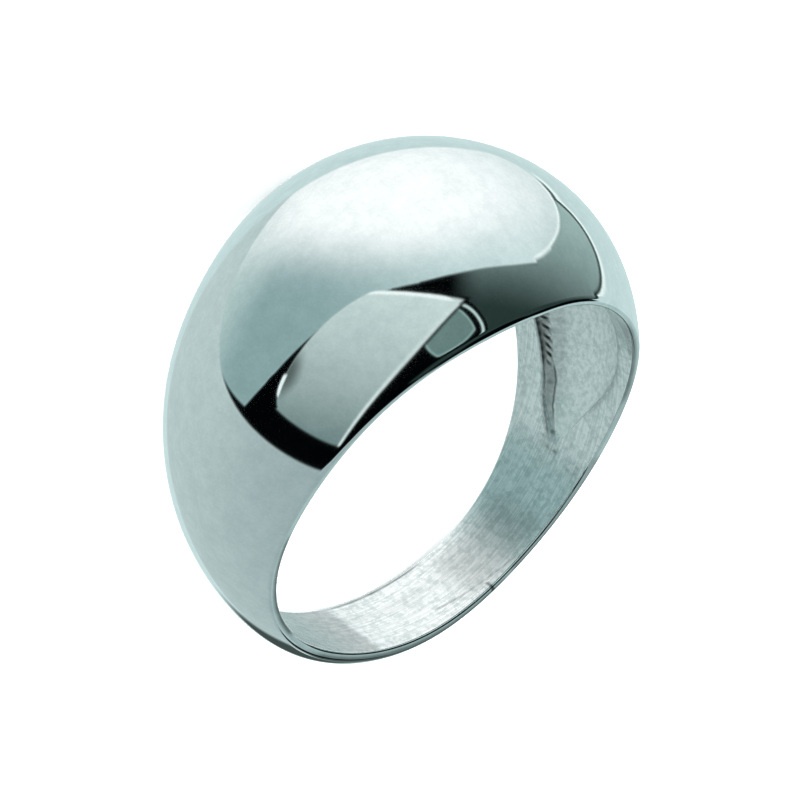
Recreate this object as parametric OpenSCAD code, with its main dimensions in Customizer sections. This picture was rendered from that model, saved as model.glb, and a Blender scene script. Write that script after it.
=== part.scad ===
// Domed silver finger ring, cast in one piece and polished.
// The band is one closed sweep round the finger hole: a wide hollow-backed dome at the
// top that narrows through the shoulders into a slim shank. It lies on its side, as it
// rests by itself: the dome's rim and the shank's rim both touch the surface.
// The finger hole's axis leans back over the shank, and the dome faces -Y.
// All sizes are in millimetres and all angles in degrees from the top of the dome.

/* [Finger hole] */
// Diameter of the finger hole
finger_d = 17.2; // [15:0.1:21]

/* [Dome] */
// Height of the dome's crown above the finger hole
dome_h = 3.95; // [3:0.05:5]
// Width of the dome along the finger
dome_w = 12.6; // [10:0.1:14]

/* [Shank] */
// Thickness of the shank opposite the dome
shank_h = 1.35; // [1.2:0.05:1.8]
// Width of the shank along the finger
shank_w = 3.5; // [3:0.1:4.5]

/* [Section] */
// Thickness of the metal at both rims
rim_t = 0.34; // [0.25:0.01:0.5]
// Fullness of the crown between the rims, where 1 is a parabola and less is fuller
crown_power = 0.96; // [0.8:0.01:1.1]

/* [Hollow under the dome] */
// Thickness of the dome's wall over the hollow
wall_t = 0.6; // [0.5:0.05:0.7]
// Width of the finger-hole strip left between the hollow and the upper rim
upper_strip = 0.95; // [0.8:0.05:1.6]
// Width of the finger-hole strip left between the hollow and the lower rim
lower_strip = 1.55; // [0.8:0.05:1.6]
// How far round from the top the hollow reaches on each side
hollow_end = 110; // [100:5:120]

/* [Hidden] */

// Rows go round from the top of the dome to the shank in equal steps. Share 1 is the
// dome's own size and share 0 the shank's, so a share below 0 is slimmer than the shank.
CROWN = 1;
WIDTH = 2;
OUTLINE = [
    // angle, crown share, width share
    [0, 1, 1],
    [30, 0.77, 0.87],
    [60, 0.44, 0.64],
    [90, -0.02, 0.34],
    [120, -0.21, 0.09],
    [150, -0.13, -0.01],
    [180, 0, 0]
];

hole_r = finger_d / 2;
// The swept blank starts this far inside the finger hole, which is then cut true
blank_inset = 0.5;
blank_r = hole_r - blank_inset;
// The round cutter's length past the dome's two rims
cutter_over = 2;

// Sweep steps round the finger and steps across each part of the section. The sections
// lie half a step to each side of the middle of the dome and of the shank, so the ring
// rests on a short edge at both and doesn't rock on a point.
SWEEP_STEPS = 72;
CROWN_STEPS = 16;
HOLLOW_STEPS = 6;
sweep_angle = 360 / SWEEP_STEPS;
first_angle = sweep_angle / 2;
function sweep_at(s) = first_angle + s * sweep_angle;

// Sum of a list
function total(list) = list * [for (i = list) 1];

// The outline's shares become cosine waves round the ring, so the metal flows without a
// crease: wave k takes its size from every row, and the two end rows count by half.
rows = len(OUTLINE) - 1;
function end_weight(i) = i == 0 || i == rows ? 0.5 : 1;
function wave_size(column, k) =
    2 / rows * end_weight(k)
    * total([for (j = [0:rows]) end_weight(j) * OUTLINE[j][column] * cos(k * OUTLINE[j][0])]);
crown_waves = [for (k = [0:rows]) wave_size(CROWN, k)];
width_waves = [for (k = [0:rows]) wave_size(WIDTH, k)];
function share(waves, a) = waves * [for (k = [0:rows]) cos(k * a)];

// Height of the crown over the finger hole and half the band's width, at angle a
function crown_h(a) = shank_h + (dome_h - shank_h) * share(crown_waves, a);
function half_w(a) = (shank_w + (dome_w - shank_w) * share(width_waves, a)) / 2;

// Radius of the outside at angle a, where v runs from -1 at the lower rim to 1 at the upper
function outside_r(a, v) =
    hole_r + rim_t + (crown_h(a) - rim_t) * pow(max(0, 1 - v * v), crown_power);

// One section as [radius, height] points, up the outside and back down the inside
function outside_points(a) =
    [for (i = [0:CROWN_STEPS])
        let (v = -cos(180 * i / CROWN_STEPS))
        [outside_r(a, v), v * half_w(a)]];

// Where the hollow is, its floor follows the outside at the wall's thickness
function in_hollow(a) = min(a, 360 - a) < hollow_end;
function hollow_points(a) =
    let (
        w = half_w(a),
        top = w - upper_strip,
        bottom = lower_strip - w
    )
    concat(
        [[blank_r, w], [blank_r, top]],
        [for (i = [0:HOLLOW_STEPS])
            let (z = top + (bottom - top) * i / HOLLOW_STEPS)
            [outside_r(a, z / w) - wall_t, z]],
        [[blank_r, bottom], [blank_r, -w]]
    );

// Elsewhere the inside is straight, with as many points
PLAIN_STEPS = HOLLOW_STEPS + 4;
function plain_points(a) =
    [for (i = [0:PLAIN_STEPS]) [blank_r, half_w(a) * (1 - 2 * i / PLAIN_STEPS)]];

function section(a) = concat(outside_points(a), in_hollow(a) ? hollow_points(a) : plain_points(a));

// Place of a section point round the finger hole, with the dome towards -Y
function round_finger(p, a) = [-p[0] * sin(a), -p[0] * cos(a), p[1]];

// The swept band before the finger hole is cut
module band_blank() {
    sections = [for (s = [0:SWEEP_STEPS - 1]) section(sweep_at(s))];
    n = len(sections[0]);
    points = [for (s = [0:SWEEP_STEPS - 1]) for (p = sections[s]) round_finger(p, sweep_at(s))];
    faces = [
        for (s = [0:SWEEP_STEPS - 1]) for (i = [0:n - 1])
            let (
                t = (s + 1) % SWEEP_STEPS,
                j = (i + 1) % n,
                a = s * n + i,
                b = s * n + j,
                c = t * n + j,
                d = t * n + i
            )
            each [[a, c, b], [a, d, c]]
    ];
    polyhedron(points = points, faces = faces);
}

// Lying on its side, the inner corner of the dome's lower rim and the outer corner of
// the shank's lower rim reach the surface together, at the sections nearest the middle
dome_rest_w = half_w(first_angle);
shank_rest_w = half_w(180 - first_angle);
dome_rest_y = hole_r * cos(first_angle);
shank_rest_y = (hole_r + rim_t) * cos(first_angle);
lean = atan((dome_rest_w - shank_rest_w) / (dome_rest_y + shank_rest_y));
rest_z = dome_rest_w * cos(lean) - dome_rest_y * sin(lean);

// Reach of a section point to the front and to the back once the ring leans
function lean_y(r, z) = r * cos(first_angle) * cos(lean) + z * sin(lean);
front_reach = max([for (p = outside_points(first_angle)) -lean_y(-p[0], p[1])]);
back_reach = max([for (p = outside_points(180 - first_angle)) lean_y(p[0], p[1])]);
rest_y = (front_reach - back_reach) / 2;

module ring() {
    color([0.80, 0.84, 0.84])
        translate([0, rest_y, rest_z])
            rotate([-lean, 0, 0])
                difference() {
                    band_blank();
                    cylinder(r = hole_r, h = dome_w + 2 * cutter_over, center = true, $fn = 96);
                }
}

ring();
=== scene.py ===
import math
from collections import namedtuple

import bpy
import numpy as np
from mathutils import Matrix


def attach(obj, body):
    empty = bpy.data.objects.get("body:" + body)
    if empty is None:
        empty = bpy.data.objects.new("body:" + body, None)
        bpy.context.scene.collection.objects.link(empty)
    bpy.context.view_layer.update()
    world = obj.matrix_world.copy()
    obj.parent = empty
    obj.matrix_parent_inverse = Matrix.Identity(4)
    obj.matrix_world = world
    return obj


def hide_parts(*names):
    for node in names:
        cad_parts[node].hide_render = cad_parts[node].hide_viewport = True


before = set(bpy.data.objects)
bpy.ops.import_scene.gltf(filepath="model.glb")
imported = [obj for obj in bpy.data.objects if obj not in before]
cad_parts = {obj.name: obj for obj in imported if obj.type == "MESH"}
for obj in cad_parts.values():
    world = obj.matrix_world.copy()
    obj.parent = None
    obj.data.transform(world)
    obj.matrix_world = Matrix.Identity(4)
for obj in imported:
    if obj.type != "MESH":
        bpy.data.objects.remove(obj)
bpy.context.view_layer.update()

# A plain silver finger ring with a wide polished dome, lying on its side on white card.
# Lengths are in millimetres and angles in degrees until mesh_from(), the materials and the
# camera turn them to Blender's metres and radians. Round the finger, angle 0 is the middle
# of the dome and 180 the middle of the shank; z runs along the finger, up when it lies.
# The upper rim is the one that the camera sees, and the lower one rests on the card.

MM = 0.001

# The ring's sizes, as in part.scad, but with the lower strip 0.01 mm wider
HOLE_R = 8.6
DOME_H = 3.95
DOME_W = 12.6
SHANK_H = 1.35
SHANK_W = 3.5
RIM_T = 0.34
CROWN_POWER = 0.96
WALL_T = 0.6
LOWER_STRIP = 1.56

# Shares of the dome's size at equal steps from the dome's middle to the shank's
CROWN_SHARES = (1, 0.77, 0.44, -0.02, -0.21, -0.13, 0)
WIDTH_SHARES = (1, 0.87, 0.64, 0.34, 0.09, -0.01, 0)

# The finger hole's middle and lean as the ring lies, which part.scad works out
HOLE_CENTRE = (0, 1.32146, 3.93567)
LEAN = 14.5432

# Polishing has worn both rims thinner under the dome by this much, and rounded them where
# they meet the hole and where they meet the crown, which is softer at the shank
DOME_WEAR = 0.09
HOLE_ROUND = 0.09
CROWN_ROUND = 0.10
SHANK_ROUND = 0.20

# The strip between the hollow and the upper rim at its narrowest, how much wider it is
# under the dome and towards the shank, how much wider the lower strip is there, and how
# far both edges waver
UPPER_STRIP = 0.77
UPPER_AT_DOME = 0.35
UPPER_AT_SHANK = 1.1
LOWER_AT_SHANK = 1
EDGE_WAVER = 0.02
# The least width that is left between the hollow's two edges
LEAST_HOLLOW = 0.6

# The hollow's upper wall slopes in over this width, and its rough lower wall over this,
# which widens past the ridges
UPPER_WALL = 0.20
LOWER_WALL = 0.34
WALL_WIDENING = 0.16
# The lower wall takes this share of the depth, and a gentle slope of this width the rest
WALL_SHARE = 0.55
WALL_SLOPE = 1.0
# The hollow runs out towards the shank over END_RUN degrees up to this angle
HOLLOW_END = 117
END_RUN = 20

# Relief left by casting: its height where it is rough, which fades out over ROUGH_FADE
# above the lower wall, the height of the finer grain all over, and the depth of hollow
# below which both fade
ROUGH = 0.05
ROUGH_FADE = 0.3
GRAIN = 0.012
SHALLOW = 0.25

# Spacing of the slanting ridges that casting left on the lower wall, drawn only as tarnish
# and painted shade, how many spacings they lean by across it, and the angle where they stop
RIDGES = 0.36
RIDGES_LEAN = 1.6
RIDGES_END = 97
# Tarnish and painted shade along the hollow's lower edge and wall stop at this angle
TARNISH_AND_SHADE_END = 112

# The nick in the upper rim beside the shank: its angle and width in degrees
NICK = (155.3, 0.4)

# Dirt round the upper rim, on its flat and where it rounds into the finger hole: how dark,
# from which angle to which, and over how many degrees it fades beside them
FLAT_DIRT = ((0.5, 113, 146, 4), (0.45, 153, 214, 8), (0.25, 86, 98, 6), (0.2, 222, 275, 8))
INNER_DIRT = ((0.6, 60, 88, 8), (0.25, 113, 146, 4), (0.9, 236, 274, 6))

# Sections from one angle to another and their number, closest along the ridges
SECTION_STEPS = ((0, 80, 120), (80, 120, 152), (120, 180, 80))
# Steps over the crown, round each corner of a rim, and down the inside: the upper strip,
# the upper wall, the hollow's floor, the lower wall and the lower strip
CROWN_STEPS = 40
RIM_STEPS = 4
INSIDE_STEPS = (25, 6, 16, 22, 8)
# The lower wall's close steps reach this many times its width, and no part of the inside
# is narrower than this
CLOSE_STEPS_REACH = 1.2
LEAST_PART = 0.02

# Numbers of the finishes, in the order that the ring gets its materials
POLISHED, BRUSHED, CAST = 0, 1, 2
# The hollow is deep enough for the cast finish from here
CAST_DEPTH = 0.04


# Waves, steps and curves


def smooth_step(x):
    """0 below 0 and 1 above 1, with 3 x squared minus 2 x cubed in between."""
    x = np.clip(x, 0, 1)
    return x * x * (3 - 2 * x)


def step_over(x, start, end):
    """Smooth step from 0 at the start to 1 at the end, which may be the lower of the two."""
    return smooth_step((x - start) / (end - start))


def bell(x, middle, width):
    """1 at the middle, and e to the minus (distance over width) squared beside it."""
    return np.exp(-(((x - middle) / width) ** 2))


def span(x, start, end, soft):
    """1 from start to end, and a smooth step to 0 over the soft width outside them."""
    return smooth_step(1 + (x - start) / soft) * smooth_step(1 + (end - x) / soft)


def wave_share(shares, angle):
    """Sum of cosine waves through shares that are given at equal steps of a half turn.

    Wave k is cos(k angle) times 2/n of the sum of share j times cos(k j 180/n), where the
    first and last share, and the first and last wave, count by half.
    """
    n = len(shares) - 1
    steps = np.arange(n + 1)
    half_ends = np.where((steps == 0) | (steps == n), 0.5, 1)
    table = np.cos(np.pi * np.outer(steps, steps) / n)
    sizes = 2 / n * half_ends * (table @ (half_ends * np.array(shares)))
    return np.tensordot(np.cos(np.multiply.outer(np.radians(angle), steps)), sizes, 1)


def ripple(angle, z, seed, waves, slant=0):
    """A fifth of the sum of 7 sine waves of random size and phase, mostly within -1 to 1.

    Each has the given number of waves round the finger, give or take a third, and is
    shifted by slant radians for each millimetre along it.
    """
    random = np.random.default_rng(seed)
    total = 0
    for _ in range(7):
        turns = round(waves * random.uniform(0.67, 1.33))
        phase = random.uniform(0, 2 * np.pi)
        size = random.uniform(0.5, 1)
        total = total + size * np.sin(turns * np.radians(angle) + slant * z + phase)
    return total / 5


def corner(start, knee, end, steps):
    """A quarter-turn curve of three points: (1-t)^2 start + 2 t (1-t) knee + t^2 end."""
    t = np.linspace(0, 1, steps + 1)[None, 1:-1]
    s_share, k_share, e_share = (1 - t) ** 2, 2 * t * (1 - t), t * t
    return tuple(s_share * s + k_share * k + e_share * e for s, k, e in zip(start, knee, end))


# The ring's shape


def away_from_dome(angle):
    """Angle from the middle of the dome, whichever way round."""
    return np.minimum(angle, 360 - angle)


def crown_height(angle):
    """Height of the crown over the finger hole."""
    return SHANK_H + (DOME_H - SHANK_H) * wave_share(CROWN_SHARES, angle)


def half_width(angle):
    """Half the band's width along the finger."""
    return (SHANK_W + (DOME_W - SHANK_W) * wave_share(WIDTH_SHARES, angle)) / 2


def rim_thickness(angle):
    """Thickness of the metal at the rims: a smooth step of wear from 75 to 35 degrees."""
    return RIM_T - DOME_WEAR * step_over(away_from_dome(angle), 75, 35)


def crown_rounding(angle):
    """Rounding between rim and crown, which a smooth step widens from 110 to 160 degrees."""
    return CROWN_ROUND + (SHANK_ROUND - CROWN_ROUND) * step_over(away_from_dome(angle), 110, 160)


def outside_radius(angle, v):
    """The rim's radius plus the crown's height times 1 minus v squared, to the crown's power."""
    rise = np.clip(1 - v * v, 0, 1) ** CROWN_POWER
    rim = rim_thickness(angle)
    return HOLE_R + rim + (crown_height(angle) - rim) * rise


def hollow_edges(angle):
    """The hollow's upper and lower edge along the finger.

    As cast, both strips beside it narrow and widen in smooth steps along the shoulders,
    and both edges waver by a ripple.
    """
    away = away_from_dome(angle)
    upper_strip = UPPER_STRIP + UPPER_AT_DOME * step_over(away, 88, 58)
    upper_strip = upper_strip + UPPER_AT_SHANK * step_over(away, 84, 118)
    lower_strip = LOWER_STRIP + LOWER_AT_SHANK * step_over(away, 104, 121)
    upper = half_width(angle) - upper_strip + EDGE_WAVER * ripple(angle, 0, seed=1, waves=20)
    lower = lower_strip - half_width(angle) + EDGE_WAVER * ripple(angle, 0, seed=2, waves=40)
    return upper, np.minimum(lower, upper - LEAST_HOLLOW)


def lower_wall(angle):
    """Width of the lower wall, which a smooth step widens from 94 to 100 degrees."""
    return LOWER_WALL + WALL_WIDENING * step_over(away_from_dome(angle), 94, 100)


def hollow_depth(angle, z, half, upper, lower):
    """How far the hollow under the dome goes into the metal.

    Its floor follows the outside at the wall's thickness. Smooth steps take it back to the
    finger hole at the upper edge, at the lower edge and towards the shank.
    """
    floor = np.clip(outside_radius(angle, z / half) - WALL_T - HOLE_R, 0, None)
    steep = smooth_step((z - lower) / lower_wall(angle))
    gentle = smooth_step((z - lower) / WALL_SLOPE)
    walls = smooth_step((upper - z) / UPPER_WALL) * (WALL_SHARE * steep + (1 - WALL_SHARE) * gentle)
    return floor * walls * step_over(away_from_dome(angle), HOLLOW_END, HOLLOW_END - END_RUN)


def cast_relief(angle, z, foot, deep):
    """Height of the casting's grain: two slanting ripples, the rough one fading out in a
    smooth step above the lower wall's foot, and both in one where the hollow is shallow."""
    rough = ROUGH * ripple(angle, z, seed=3, waves=100, slant=9)
    rough = rough * smooth_step((foot + ROUGH_FADE - z) / ROUGH_FADE)
    grain = GRAIN * ripple(angle, z, seed=4, waves=160, slant=14)
    return (rough + grain) * smooth_step(deep / SHALLOW)


# Tarnish, polishing dirt and painted shade, from 0 for none to 1


def specks(angle, z):
    """Dirty pits: a smooth step over the product of two ripples that slant opposite ways."""
    one_way = ripple(angle, z, seed=12, waves=80, slant=7)
    other_way = ripple(angle, z, seed=13, waves=80, slant=-7)
    return smooth_step(2.5 * one_way * other_way)


def patchy(angle):
    """How thick the dirt lies in a line round the finger: 0.8 plus a fifth of a ripple."""
    return 0.8 + 0.2 * ripple(angle, 0, seed=6, waves=60)


def lower_wall_marks(angle, z, lower):
    """Marks along the hollow's lower edge, on its lower wall and along that wall's foot.

    The edge is a bell curve, broken up by a ripple. On the wall, ridges are a cosine wave
    round the finger that slants across it, cut off at 0 and 1, and darkest at 0.7 of the
    wall's width. Past the ridges the wall is specked, and its foot is a bell curve. All are
    tarnish with painted shade: in the crevice along the edge, in the grooves between the
    ridges and in the crease at the foot.
    """
    away = away_from_dome(angle)
    width = lower_wall(angle)
    across = np.clip((z - lower) / width, 0, 1)
    ridged = step_over(away, RIDGES_END, RIDGES_END - 2)
    past_ridges = (1 - ridged) * span(away, 0, TARNISH_AND_SHADE_END, 3)

    # A broken line of tarnish and painted shade 0.065 mm inside the hollow's edge
    blobs = np.clip(0.85 + 0.3 * ripple(angle, 0, seed=15, waves=150), 0, 1)
    edge = 1.1 * bell(z, lower + 0.065, 0.095) * blobs * (0.7 + 0.3 * ridged)
    edge = edge * span(away, 0, TARNISH_AND_SHADE_END, 4)

    # Ridges, uneven in spacing and in darkness, with painted shade in their grooves, and specks past them
    turns = np.radians(away) * HOLE_R / RIDGES - RIDGES_LEAN * across
    turns = turns + 0.35 * ripple(angle, 0, seed=8, waves=40)
    ridges = smooth_step(0.4 + 1.2 * np.cos(2 * np.pi * turns)) * ridged
    ridges = ridges * smooth_step(1.1 + 1.2 * ripple(angle, 0, seed=14, waves=120))
    on_wall = span(z, lower + 0.05, lower + width, 0.06)
    wall = on_wall * (ridges * (0.1 + 0.9 * bell(across, 0.7, 0.3)) + 0.06)
    wall = wall + on_wall * past_ridges * (0.24 + 0.4 * specks(angle, z))

    # A thin line of tarnish and painted shade along the wall's foot, past the ridges
    foot = bell(z, lower + width, 0.055) * past_ridges * span(away, 0, 107, 4)
    foot = foot * (0.55 + 0.3 * patchy(angle))
    return edge, wall, foot


def hollow_end_marks(angle, z, half, upper):
    """Marks where the hollow ends beside the shank, and along its upper edge.

    Bell curves draw a slanting line at the end, a specked patch by the rim past it, and the
    upper edge, whose line is painted shade in the crevice there. A wedge on the upper strip
    is a span that narrows round the finger.
    """
    away = away_from_dome(angle)
    pits = specks(angle, z)
    # The end line slants by 1.2 degrees for each millimetre along the finger
    end = bell(away, 115.5 + 1.2 * z, 1.3) * span(z, -0.4, 0.6, 0.2) * (0.15 + 0.5 * pits)
    patch = bell(away, 118, 2) * bell(z, half - 0.55, 0.4) * (0.1 + 0.6 * pits)
    # The upper edge is dark between 75 and 98 degrees, with painted shade in its crevice
    near = bell(z, upper + 0.02, 0.15) * step_over(away, 106, 98) * step_over(away, 55, 75)
    near = near * (0.3 + 0.1 * ripple(angle, 0, seed=9, waves=40))
    # The wedge loses 0.02 mm a degree
    wedge = span(away, 57, 71, 4) * span(half - z, 0.12, 0.6 - 0.02 * (away - 57), 0.1)
    wedge = wedge * (0.32 + 0.12 * ripple(angle, z, seed=11, waves=40, slant=5))
    return end, patch, near, wedge


def shank_marks(angle, z, half):
    """Marks inside the shank.

    A scratch is a bell curve that leaves the upper rim at a slant, the nick is another cut
    off at the rim's depth, and a third follows the lower rim. Painted shade is two soft
    spans: darker patches on the brushed inside.
    """
    # The scratch moves away from the rim by 0.026 mm a degree, and the nick is 0.35 mm deep
    scratch = 0.5 * span(angle, 146, 169, 2) * bell(half - z, 0.25 + 0.026 * (angle - 146), 0.05)
    nick = 0.8 * bell(angle, *NICK) * smooth_step((z - half + 0.35) / 0.06)
    far_edge = span(angle, 165, 191, 4) * bell(z, 0.1 - half, 0.06) * patchy(angle)
    # Painted shade: darker patches inside the shank from 195 to 226 and from 138 to 156 degrees
    painted_shade = 0.38 * span(angle, 195, 226, 2.5) + 0.3 * span(angle, 138, 156, 9) * span(z, -0.6, 1, 1)
    return scratch, nick, far_edge, painted_shade


def tarnish_and_shade_share(angle, z, half, upper, lower):
    """Where tarnish, polishing dirt and painted shade stay inside: the darkest mark at each place."""
    marks = lower_wall_marks(angle, z, lower)
    marks = marks + hollow_end_marks(angle, z, half, upper) + shank_marks(angle, z, half)
    darkest = 0 * z
    for mark in marks:
        darkest = np.maximum(darkest, mark)
    return np.clip(darkest, 0, 1)


def rim_tarnish(angle):
    """Dirt on the upper rim: on its flat, and where it rounds into the finger hole.

    Each is a sum of soft spans round the finger, uneven by a ripple, and the nick is a bell.
    """
    uneven = 0.9 + 0.1 * ripple(angle, 0, seed=10, waves=50)
    nick = bell(angle, *NICK)
    flat = sum(dark * span(angle, *where) for dark, *where in FLAT_DIRT)
    inner = sum(dark * span(angle, *where) for dark, *where in INNER_DIRT)
    return np.maximum(flat * uneven, nick), np.maximum(inner * uneven, nick)


# The ring's mesh


def rim_parts(angle, side, flat_dirt, inner_dirt):
    """Radius, z and tarnish from the crown to the finger hole over a rim, side 1 the upper.

    Its two corners are quarter-turn curves, with the rim's flat between them.
    """
    half = half_width(angle)
    on = np.ones_like(angle)
    edge_v = 1 - crown_rounding(angle) / half
    rim_r = HOLE_R + rim_thickness(angle)
    crown_end = (outside_radius(angle, edge_v), side * edge_v * half)
    flat_outside = (rim_r - crown_rounding(angle), side * half)
    flat_inside = ((HOLE_R + HOLE_ROUND) * on, side * half)
    hole_end = (HOLE_R * on, side * (half - HOLE_ROUND))
    outer = corner(crown_end, (rim_r * on, side * half), flat_outside, RIM_STEPS)
    into_hole = corner(flat_inside, (HOLE_R * on, side * half), hole_end, RIM_STEPS)
    # The flat's dirt is darkest on its outer corner, up to where the far shoulder begins,
    # and fainter on its inner edge
    outer_dirt = 1.8 * flat_dirt * span(angle, 86, 226, 4)
    edge_dirt = np.maximum(0.7 * flat_dirt, inner_dirt)
    return [
        outer + (outer_dirt,),
        flat_outside + (flat_dirt,),
        flat_inside + (edge_dirt,),
        into_hole + (inner_dirt,),
    ]


def crown_part(angle):
    """Radius, z and tarnish over the crown, in steps of minus the cosine of a half turn."""
    half = half_width(angle)
    edge_v = 1 - crown_rounding(angle) / half
    v = -np.cos(np.linspace(0, np.pi, CROWN_STEPS + 1))[None] * edge_v
    return outside_radius(angle, v), v * half, 0 * angle


def inside_part(angle):
    """Radius, z, and tarnish with painted shade, down the finger hole with the hollow in it, and its depth.
    """
    half = half_width(angle)
    upper, lower = hollow_edges(angle)
    foot = np.minimum(lower + CLOSE_STEPS_REACH * lower_wall(angle), upper - UPPER_WALL - LEAST_PART)
    knots = (half - HOLE_ROUND, upper, upper - UPPER_WALL, foot, lower, HOLE_ROUND - half)
    z = [knots[0]]
    for start, end, steps in zip(knots, knots[1:], INSIDE_STEPS):
        z.append(start + (end - start) * np.linspace(0, 1, steps + 1)[None, 1:])
    z = np.concatenate(z, axis=1)
    deep = hollow_depth(angle, z, half, upper, lower)
    radius = HOLE_R + deep + cast_relief(angle, z, foot, deep)
    return (radius, z, tarnish_and_shade_share(angle, z, half, upper, lower)), deep


def ring_sections():
    """Angle, radius, z, and tarnish with painted shade, of every section, the hollow's depth
    inside, and the number of the column where the inside starts.

    A section runs up the crown, round the upper rim, down the finger hole with the hollow
    in it, and round the lower rim. Rows are sections round the finger, from the dome to the
    shank and then back at the same angles.
    """
    there = np.concatenate([np.linspace(a, b, n, endpoint=False) for a, b, n in SECTION_STEPS])
    back = 360 - np.append(there[1:], 180)[::-1]
    angle = np.append(there, back)[:, None]
    clean = 0 * angle
    inside, deep = inside_part(angle)
    before = [crown_part(angle)] + rim_parts(angle, 1, *rim_tarnish(angle))
    lower_rim = [tuple(p[:, ::-1] for p in part) for part in reversed(rim_parts(angle, -1, clean, clean))]
    parts = before + [inside] + lower_rim
    radius, z, stains_and_shade = (
        np.concatenate([np.broadcast_to(part[i], part[1].shape) for part in parts], axis=1)
        for i in range(3)
    )
    return angle, radius, z, stains_and_shade, deep, sum(part[1].shape[1] for part in before)


def mesh_from(name, points, faces, finishes):
    """Blender mesh of points in millimetres and quads, with a finish number for each."""
    mesh = bpy.data.meshes.new(name)
    mesh.vertices.add(len(points))
    mesh.vertices.foreach_set("co", (points * MM).astype(np.float32).ravel())
    mesh.loops.add(faces.size)
    mesh.loops.foreach_set("vertex_index", faces.astype(np.int32).ravel())
    mesh.polygons.add(len(faces))
    mesh.polygons.foreach_set("loop_start", np.arange(0, faces.size, 4, dtype=np.int32))
    mesh.polygons.foreach_set("material_index", finishes.astype(np.int32))
    mesh.polygons.foreach_set("use_smooth", np.ones(len(faces), dtype=bool))
    mesh.update(calc_edges=True)
    mesh.validate()
    piece = bpy.data.objects.new(name, mesh)
    bpy.context.collection.objects.link(piece)
    return piece


def lying(radius, angle, z):
    """A point round the finger hole, leant back until both rims touch, and set down."""
    turn, lean = np.radians(angle), math.radians(LEAN)
    x, y = -radius * np.sin(turn), -radius * np.cos(turn)
    ahead = y * math.cos(lean) + z * math.sin(lean)
    up = z * math.cos(lean) - y * math.sin(lean)
    return np.stack([x, ahead, up], axis=-1) + np.array(HOLE_CENTRE)


def ring_piece():
    """The whole ring as one closed grid of sections round the finger.

    Each point keeps its tarnish and painted shade, and for the brushing its place on the
    upright finger hole: z, then the hole's radius times the cosine and the sine of the angle.
    """
    angle, radius, z, stains_and_shade, deep, first = ring_sections()
    rows, columns = radius.shape
    points = lying(radius, angle, z).reshape(-1, 3)
    row, column = np.meshgrid(np.arange(rows), np.arange(columns), indexing="ij")
    next_row, next_column = (row + 1) % rows, (column + 1) % columns
    corners = [
        row * columns + column,
        row * columns + next_column,
        next_row * columns + next_column,
        next_row * columns + column,
    ]
    faces = np.stack(corners, axis=-1).reshape(-1, 4)
    last = first + deep.shape[1]
    inside = (column >= first) & (column < last - 1)
    depths = np.zeros(radius.shape)
    depths[:, first:last] = deep
    hollow = inside & ((depths > CAST_DEPTH) | (depths[:, next_column[0]] > CAST_DEPTH))
    finishes = np.where(hollow, CAST, np.where(inside, BRUSHED, POLISHED)).ravel()
    piece = mesh_from("ring_body", points, faces, finishes)
    brushing = piece.data.attributes.new("brushing", "FLOAT_VECTOR", "POINT")
    turn = np.radians(np.broadcast_to(angle, radius.shape))
    along = np.stack([z, HOLE_R * np.cos(turn), HOLE_R * np.sin(turn)], axis=-1)
    brushing.data.foreach_set("vector", along.astype(np.float32).ravel())
    # This attribute holds tarnish and dirt, and also painted shade in the hollow's crevices and grooves and
    # inside the shank
    tarnish_and_shade = piece.data.attributes.new("tarnish_and_shade", "FLOAT", "POINT")
    tarnish_and_shade.data.foreach_set("value", stains_and_shade.astype(np.float32).ravel())
    return piece


# Materials

SILVER = "e9eeee"
# Near-black of tarnish, also used for painted shade
SULPHIDE_AND_SHADE = "2a3433"
WHITE = "ffffff"


def linear(hex_colour):
    """Blender's linear red, green, blue and alpha of an sRGB hex colour."""
    shares = [int(hex_colour[i:i + 2], 16) / 255 for i in (0, 2, 4)]
    return tuple(c / 12.92 if c <= 0.04045 else ((c + 0.055) / 1.055) ** 2.4 for c in shares) + (1,)


def add(tree, kind, inputs=(), **settings):
    """Adds a node with its settings, and links or sets its inputs."""
    node = tree.nodes.new(kind)
    for name, value in settings.items():
        setattr(node, name, value)
    for socket, value in inputs:
        if isinstance(value, bpy.types.NodeSocket):
            tree.links.new(value, node.inputs[socket])
        else:
            node.inputs[socket].default_value = value
    return node


def new_material(name, colour, metallic, roughness):
    """A material with its shader and output, ready for detail."""
    material = bpy.data.materials.new(name)
    material.use_nodes = True
    tree = material.node_tree
    tree.nodes.clear()
    inputs = (("Base Color", linear(colour)), ("Metallic", metallic), ("Roughness", roughness))
    shader = add(tree, "ShaderNodeBsdfPrincipled", inputs)
    add(tree, "ShaderNodeOutputMaterial", (("Surface", shader.outputs[0]),))
    return material, tree, shader


def tarnished_and_shaded(tree, clean):
    """The clean colour, going to near-black silver sulphide where tarnish has stayed, and to the same
    near-black where shade is painted.
    """
    stain = add(tree, "ShaderNodeAttribute", attribute_name="tarnish_and_shade").outputs["Fac"]
    inputs = ((0, stain), (6, clean), (7, linear(SULPHIDE_AND_SHADE)))
    return add(tree, "ShaderNodeMix", inputs, data_type="RGBA").outputs[2]


def varied(tree, noise, low, high, dull, bright):
    """A colour from dull to bright as the noise goes from low to high."""
    inputs = (("Value", noise), ("From Min", low), ("From Max", high), ("To Min", 0.0), ("To Max", 1.0))
    share = add(tree, "ShaderNodeMapRange", inputs).outputs[0]
    inputs = ((0, share), (6, linear(dull)), (7, linear(bright)))
    return add(tree, "ShaderNodeMix", inputs, data_type="RGBA").outputs[2]


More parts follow.
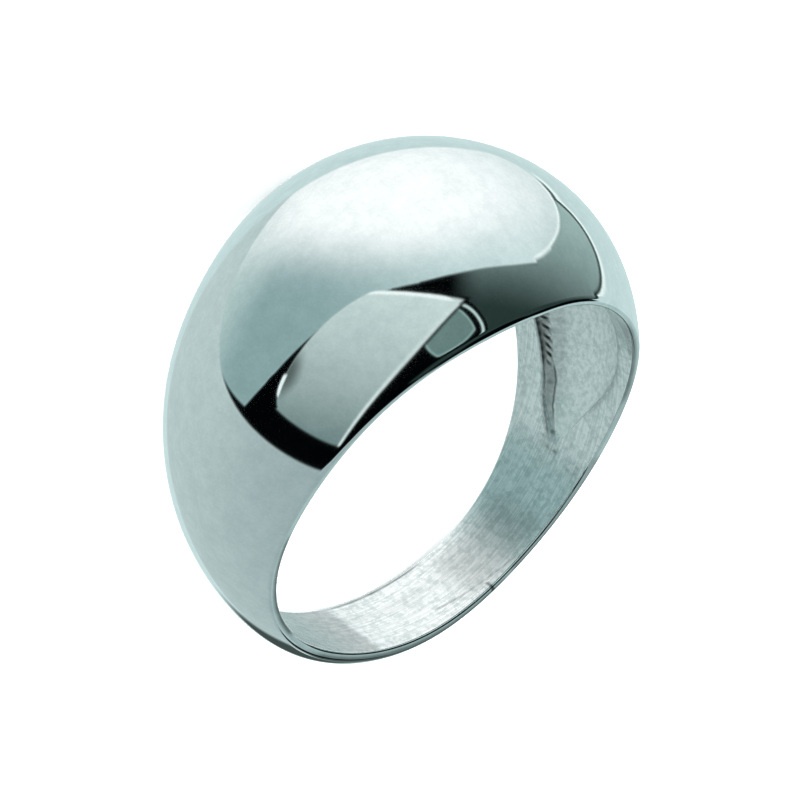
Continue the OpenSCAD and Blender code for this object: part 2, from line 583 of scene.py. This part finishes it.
def polished_silver():
    """Mirror-polished silver: sharp reflections, very slightly uneven from the buffing wheel,
    with a faint cloudy bloom from handling."""
    material, tree, shader = new_material("polished_silver", SILVER, metallic=1, roughness=0.045)
    place = add(tree, "ShaderNodeTexCoord").outputs["Object"]
    # Soft unevenness about 1.2 mm across
    waves = add(tree, "ShaderNodeTexNoise", (("Vector", place), ("Scale", 1 / (1.2 * MM)), ("Detail", 2)))
    inputs = (("Height", waves.outputs[0]), ("Distance", 0.0006 * MM), ("Strength", 1))
    bump = add(tree, "ShaderNodeBump", inputs)
    tree.links.new(bump.outputs[0], shader.inputs["Normal"])
    # Bloom from 0.9 mm down to grain of 0.06 mm, coarser than real so that it shows
    inputs = (("Vector", place), ("Scale", 1 / (0.9 * MM)), ("Detail", 4), ("Roughness", 0.85))
    bloom = add(tree, "ShaderNodeTexNoise", inputs).outputs[0]
    clean = varied(tree, bloom, 0.35, 0.65, "dbe2e2", SILVER)
    tree.links.new(tarnished_and_shaded(tree, clean), shader.inputs["Base Color"])
    return material


def brushed_silver():
    """Silver finished inside with abrasive paper: satin, with scratches round the finger
    that hold a little dirt, and a mottle from uneven pressure."""
    material, tree, shader = new_material("brushed_silver", SILVER, metallic=1, roughness=0.24)
    place = add(tree, "ShaderNodeAttribute", attribute_name="brushing").outputs["Vector"]
    # Scratches 0.1 mm wide and 4 mm long, wider than real ones so that they show
    inputs = (("Vector", place), ("Scale", (1 / 0.1, 1 / 4, 1 / 4)))
    stretched = add(tree, "ShaderNodeMapping", inputs).outputs[0]
    inputs = (("Vector", stretched), ("Scale", 1), ("Detail", 4), ("Roughness", 0.65))
    lines = add(tree, "ShaderNodeTexNoise", inputs).outputs[0]
    brushed = varied(tree, lines, 0.41, 0.57, "d8dfde", SILVER)
    # Mottle 0.3 mm across
    inputs = (("Vector", place), ("Scale", 1 / 0.3), ("Detail", 3), ("Roughness", 0.6))
    mottle = add(tree, "ShaderNodeTexNoise", inputs).outputs[0]
    pressed = varied(tree, mottle, 0.38, 0.56, "e4eae9", WHITE)
    inputs = ((0, 1.0), (6, brushed), (7, pressed))
    colour = add(tree, "ShaderNodeMix", inputs, data_type="RGBA", blend_type="MULTIPLY").outputs[2]
    tree.links.new(tarnished_and_shaded(tree, colour), shader.inputs["Base Color"])
    inputs = (("Height", lines), ("Distance", 0.009 * MM), ("Strength", 1))
    bump = add(tree, "ShaderNodeBump", inputs)
    tree.links.new(bump.outputs[0], shader.inputs["Normal"])
    return material


def cast_silver():
    """Silver left as cast in the hollow: dull and grainy, dark where tarnish has stayed and where shade is
    painted.
    """
    material, tree, shader = new_material("cast_silver", SILVER, metallic=0.8, roughness=0.34)
    place = add(tree, "ShaderNodeTexCoord").outputs["Object"]
    # Grain 0.25 mm across
    inputs = (("Vector", place), ("Scale", 1 / (0.25 * MM)), ("Detail", 4), ("Roughness", 0.6))
    grain = add(tree, "ShaderNodeTexNoise", inputs).outputs[0]
    cast = varied(tree, grain, 0.35, 0.6, "bdcbc9", "dae4e3")
    tree.links.new(tarnished_and_shaded(tree, cast), shader.inputs["Base Color"])
    inputs = (("Height", grain), ("Distance", 0.03 * MM), ("Strength", 1))
    bump = add(tree, "ShaderNodeBump", inputs)
    tree.links.new(bump.outputs[0], shader.inputs["Normal"])
    return material


def white_card():
    """Matte white card under the ring."""
    return new_material("white_card", "f4f4f4", metallic=0, roughness=1)[0]


ring = ring_piece()
# In the order of the numbers POLISHED, BRUSHED and CAST
for material in (polished_silver(), brushed_silver(), cast_silver()):
    ring.data.materials.append(material)
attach(ring, "root")
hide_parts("ring")

# The studio: white card below, and round it a sky of light and dark cards that only the
# metal sees. Directions are azimuth from -Y towards +X, and elevation above the card.

BLACK = "020304"

# Each card is where its discs of sky overlap, and a card with no disc fills the sky. A disc
# is its azimuth, elevation, radius and soft edge, and with a negative radius it is the sky
# outside itself. The colour fades to the end colour between two directions, and the gain
# brightens it. Later cards hang in front of earlier ones.
CARD_FIELDS = "name discs colour end_colour fade_from fade_to gain"
Card = namedtuple("Card", CARD_FIELDS, defaults=(None, None, None, 1))

# Outlines and fading colours that several cards share
PAST_TENT = (-12, -36, -81.7, 1.5)
PAST_SEAM = (-31, -12, -52, 1.5)
WALL_LIGHT = ("bdcccc", "9bacad", (0, -52), (180, 52))
DIM_LIGHT = ("9db5b2", "283734", (-51, 11), (-75, 45))
PANEL_LIGHT = ("d1e0de", "004849", (-9, 22), (146, 2))
PANEL_RIGHT = (-148, 53, -63.4, 1.5)
PANEL_TOP = (-26, -6, -61.6, 1.5)
PANEL_LEFT = (85, 60, 47.2, 1.5)
PANEL_FOOT = (163, -31, -90, 1.5)

CARDS = (
    # The tent over the ring, with its lamp's glow, and the dark room past its edges
    Card("tent", (), "c4d8d8", "8ea8a9", (-30, 15), (48, 5)),
    Card("tent_side", ((-125, 0, 45, 40),), "b5c8c8"),
    Card("tent_foot", ((0, -90, 34, 60),), "b6cbc9"),
    Card(
        "tent_glow",
        ((-71, -14, 88, 42), (-15, -41, 73, 35), (19, 5, 104, 110), (-62, 16, 94, 29)),
        WHITE,
        gain=1.05,
    ),
    Card("room_above", (PAST_TENT, (0, -42, -78.1, 1.5)), BLACK),
    Card("room_beside", ((141, 54, 75, 1.5),), BLACK),
    Card("tent_gap", ((169, -20, 85, 1.5),), BLACK),
    # Walls and cloths on both sides
    Card("right_wall", ((168, -29, 79, 1.5),), *WALL_LIGHT),
    Card("floor_cloth", ((152, -46, 57, 4),), *WALL_LIGHT),
    Card("glow_rim", ((-31, -12, -50.9, 1), (-31, -12, 53, 1), (-80, 0, 24, 8)), "eef8f6"),
    Card("room_left", ((-15, -30, -76, 1.5), (-75, 30, 62, 1.5)), BLACK),
    Card("left_cloth", ((-31, -12, -52, 2), (-115, -32, 42, 3)), "c4d8d8"),
    Card("left_foot", ((-88, -56, 20, 4),), "c4d8d8"),
    # The dim wall past the tent's seam, its dark outline and the pale line round that
    Card("seam_halo", ((-31, -12, -53.5, 1), (-31, -12, 55.5, 1), (-85, -20, 9, 4)), "e6f4f1"),
    Card("dim_halo", (PAST_SEAM, (-84, -3, 17, 1.5)), "e6f4f1"),
    Card("dim_edge", (PAST_SEAM, (-84, -3, 15.3, 1)), "263431"),
    Card("dim_foot", ((-103, 6, 8, 2), (-60, 50, 59.2, 1)), "1c2725"),
    Card("dim_seam", ((-31, -12, -52, 1), (-31, -12, 53.5, 1), (-85, -18, 6, 6)), "3c4a48"),
    Card("dim_corner", (PAST_SEAM, (-84.6, -2.8, 13.5, 1.5)), *DIM_LIGHT),
    Card(
        "dim_wall",
        (PAST_SEAM, PAST_TENT, (-60, 50, 57, 1.5), (-160, 20, -50, 3), (-120, 30, 70, 16)),
        *DIM_LIGHT,
    ),
    Card("dim_tip", (PAST_SEAM, (-77, 13, 11, 1.5)), *DIM_LIGHT),
    # The small hatch beside the panel
    Card("hatch_gap", ((-13, 66, 11.5, 1),), BLACK),
    Card("hatch_line", ((-13, 66, 9.6, 1),), "b4cbc7"),
    Card("hatch_ring", ((-12, 66, 8.5, 1),), BLACK),
    Card("hatch_surround", ((8, 68, 15, 1), (60, 60, 60, 1)), BLACK),
    Card("hatch_rim", ((4, 67, 11.6, 1), (13, 36, 37.6, 1)), "86a19d"),
    Card("hatch", ((4, 67, 10.6, 1), (13, 36, 36.6, 1)), "6a8380"),
    # The large pale panel in front, with the pale lines along its top and right edges
    Card(
        "panel_gap",
        ((-148, 53, -62.2, 1.5), (163, -31, -88.5, 1.5), (-26, -6, -60.3, 1.5), (0, 60, 24, 1)),
        BLACK,
    ),
    Card("panel", (PANEL_RIGHT, PANEL_FOOT, PANEL_TOP, PANEL_LEFT), *PANEL_LIGHT),
    Card("panel_tip", (PANEL_RIGHT, PANEL_TOP, (-8, 56, 9, 1)), *PANEL_LIGHT),
    Card("panel_top", (PANEL_RIGHT, PANEL_TOP, (-26, -6, 63, 1.5), PANEL_LEFT), "f4fcfa"),
    Card("panel_right", (PANEL_RIGHT, (-148, 53, 64.8, 1.5), PANEL_TOP, PANEL_FOOT, PANEL_LEFT), "d3e0de"),
    Card("panel_shade", ((66, 13, 5, 14), PANEL_LEFT), "56625f"),
    Card("panel_glint", ((85, 60, 48.6, 1), (85, 60, -46.4, 1), (71.5, 14, 4.5, 2)), "e8f4f2"),
    Card("panel_corner", ((69, 35, -23, 1.5), (74, 11, 8, 1)), BLACK),
    # Curtains and a table behind the ring
    Card("curtain", ((-135, 38, 22, 3),), BLACK),
    Card("high_curtain", ((-120, 62, 16, 3),), BLACK),
    Card("low_curtain", ((-121, 23, 14.5, 3),), BLACK),
    Card("table", ((-144, 8, 18, 5),), "a9bebe"),
    Card("far_table", ((-147, 28, 12, 5),), "a9bebe"),
    Card("table_end", ((-137, -7, 10, 5),), "a9bebe"),
    Card("table_gap", ((-162, -10, 10, 3),), "0c1212"),
    Card("under_table", ((-149, -22, 13, 4),), "6f7f7c"),
    Card("dark_floor_edge", ((-154, -43, 9, 5),), "3f4a48"),
)

# Strength of the cards in the metal, and of the plain white that lights the card below
CARDS_STRENGTH = 1.18
WHITE_STRENGTH = 2.4


def direction(azimuth, elevation):
    """Unit vector of a direction in degrees."""
    a, e = math.radians(azimuth), math.radians(elevation)
    return (math.sin(a) * math.cos(e), -math.cos(a) * math.cos(e), math.sin(e))


def sky_step(tree, towards, axis, low, high, turned=False):
    """Smooth step from 0 to 1 as the dot product of the sky's direction and an axis goes
    from low to high, or from 1 to 0 when turned over."""
    inputs = ((0, towards), (1, axis))
    along = add(tree, "ShaderNodeVectorMath", inputs, operation="DOT_PRODUCT").outputs["Value"]
    before, after = (1.0, 0.0) if turned else (0.0, 1.0)
    inputs = (("Value", along), ("From Min", low), ("From Max", high), ("To Min", before), ("To Max", after))
    return add(tree, "ShaderNodeMapRange", inputs, interpolation_type="SMOOTHSTEP").outputs[0]


def card_cover(tree, towards, card):
    """Where the card's discs overlap: the product of a smooth step over each one's edge."""
    cover = None
    for azimuth, elevation, radius, edge in card.discs:
        low = math.cos(math.radians(abs(radius) + edge / 2))
        high = math.cos(math.radians(max(abs(radius) - edge / 2, 0)))
        disc = sky_step(tree, towards, direction(azimuth, elevation), low, high, turned=radius < 0)
        if cover is None:
            cover = disc
        else:
            cover = add(tree, "ShaderNodeMath", ((0, cover), (1, disc)), operation="MULTIPLY").outputs[0]
    return 1.0 if cover is None else cover


def card_colour(tree, towards, card):
    """The card's colour, with its fade from one direction to another if it has one."""
    first, end = (
        tuple(card.gain * c for c in linear(colour)[:3]) + (1,)
        for colour in (card.colour, card.end_colour or card.colour)
    )
    if card.end_colour is None:
        return first
    a, b = np.array(direction(*card.fade_from)), np.array(direction(*card.fade_to))
    fade = sky_step(tree, towards, tuple(b - a), float(a @ (b - a)), float(b @ (b - a)))
    return add(tree, "ShaderNodeMix", ((0, fade), (6, first), (7, end)), data_type="RGBA").outputs[2]


def studio_sky():
    """World of cards for the metal, and plain white for all that isn't a reflection."""
    world = bpy.data.worlds.new("studio")
    bpy.context.scene.world = world
    world.use_nodes = True
    # No map of the sky's bright places is needed, since the light that it casts is plain
    world.cycles.sampling_method = "NONE"
    tree = world.node_tree
    tree.nodes.clear()
    towards = add(tree, "ShaderNodeTexCoord").outputs["Generated"]
    sky = linear(BLACK)
    for card in CARDS:
        inputs = ((0, card_cover(tree, towards, card)), (6, sky), (7, card_colour(tree, towards, card)))
        sky = add(tree, "ShaderNodeMix", inputs, data_type="RGBA", label=card.name).outputs[2]
    mirrored = add(tree, "ShaderNodeBackground", ((0, sky), (1, CARDS_STRENGTH)))
    plain = add(tree, "ShaderNodeBackground", ((0, linear(WHITE)), (1, WHITE_STRENGTH)))
    glossy = add(tree, "ShaderNodeLightPath").outputs["Is Glossy Ray"]
    inputs = ((0, glossy), (1, plain.outputs[0]), (2, mirrored.outputs[0]))
    shown = add(tree, "ShaderNodeMixShader", inputs)
    add(tree, "ShaderNodeOutputWorld", (("Surface", shown.outputs[0]),))


studio_sky()

# The floor is 2 m square, and the metal doesn't mirror it: its reflections are all cards
FLOOR_SIDE = 2000
floor_corners = np.array([(-1, -1, 0), (1, -1, 0), (1, 1, 0), (-1, 1, 0)]) * FLOOR_SIDE / 2
floor = mesh_from("floor", floor_corners, np.array([[0, 1, 2, 3]]), np.zeros(1))
floor.data.materials.append(white_card())
floor.visible_glossy = False

# The camera looks at the ring from the photograph's side: 54 degrees round, 48 degrees
# above the card, and rolled so that the ring stands upright in the picture. CAMERA_ASIDE
# is how far to the right of the finger hole's middle and above it the camera is aimed.
CAMERA_AZIMUTH = 53.65
CAMERA_ELEVATION = 47.58
CAMERA_ROLL = 110.43
CAMERA_DISTANCE = 313.02
CAMERA_ASIDE = (-0.036, 1.4137)
CAMERA_LENS = 364.2
NEAREST_SEEN = 10
FURTHEST_SEEN = 10000

# The photograph is sharpened: the blur's size in pixels, and the share of what it loses
# that is added
SHARPEN_BLUR = 3
SHARPEN_SHARE = 0.6


def set_camera():
    """A long lens at the photograph's angle, aimed a little to the side of the hole's middle."""
    back = np.array(direction(CAMERA_AZIMUTH, CAMERA_ELEVATION))
    turn, roll = math.radians(CAMERA_AZIMUTH), math.radians(CAMERA_ROLL)
    level = np.array([math.cos(turn), math.sin(turn), 0])
    right = level * math.cos(roll) + np.cross(back, level) * math.sin(roll)
    up = np.cross(back, right)
    aim = np.array(HOLE_CENTRE) + CAMERA_ASIDE[0] * right + CAMERA_ASIDE[1] * up
    place = aim + CAMERA_DISTANCE * back
    lens = bpy.data.cameras.new("camera")
    lens.lens = CAMERA_LENS
    lens.clip_start = NEAREST_SEEN * MM
    lens.clip_end = FURTHEST_SEEN * MM
    camera = bpy.data.objects.new("camera", lens)
    bpy.context.collection.objects.link(camera)
    axes = Matrix([list(row) for row in np.stack([right, up, back], axis=1)]).to_4x4()
    camera.matrix_world = Matrix.Translation([float(c) * MM for c in place]) @ axes
    bpy.context.scene.camera = camera


def sharpen():
    """Adds to the picture a share of what a blurred copy loses, as the photograph's own
    sharpening does. Only what gets brighter is kept: thin bright lines where a reflection
    meets a darker one."""
    scene = bpy.context.scene
    scene.use_nodes = True
    tree = scene.node_tree
    tree.nodes.clear()
    picture = add(tree, "CompositorNodeRLayers").outputs["Image"]
    size = {"size_x": SHARPEN_BLUR, "size_y": SHARPEN_BLUR}
    blurred = add(tree, "CompositorNodeBlur", (("Image", picture),), filter_type="GAUSS", **size)
    inputs = ((0, 1.0), (1, picture), (2, blurred.outputs[0]))
    lost = add(tree, "CompositorNodeMixRGB", inputs, blend_type="SUBTRACT")
    inputs = ((0, SHARPEN_SHARE), (1, picture), (2, lost.outputs[0]))
    sharp = add(tree, "CompositorNodeMixRGB", inputs, blend_type="ADD")
    inputs = ((0, 1.0), (1, picture), (2, sharp.outputs[0]))
    kept = add(tree, "CompositorNodeMixRGB", inputs, blend_type="LIGHTEN")
    add(tree, "CompositorNodeComposite", (("Image", kept.outputs[0]),))


set_camera()
sharpen()
bpy.context.scene.view_settings.view_transform = "Standard"
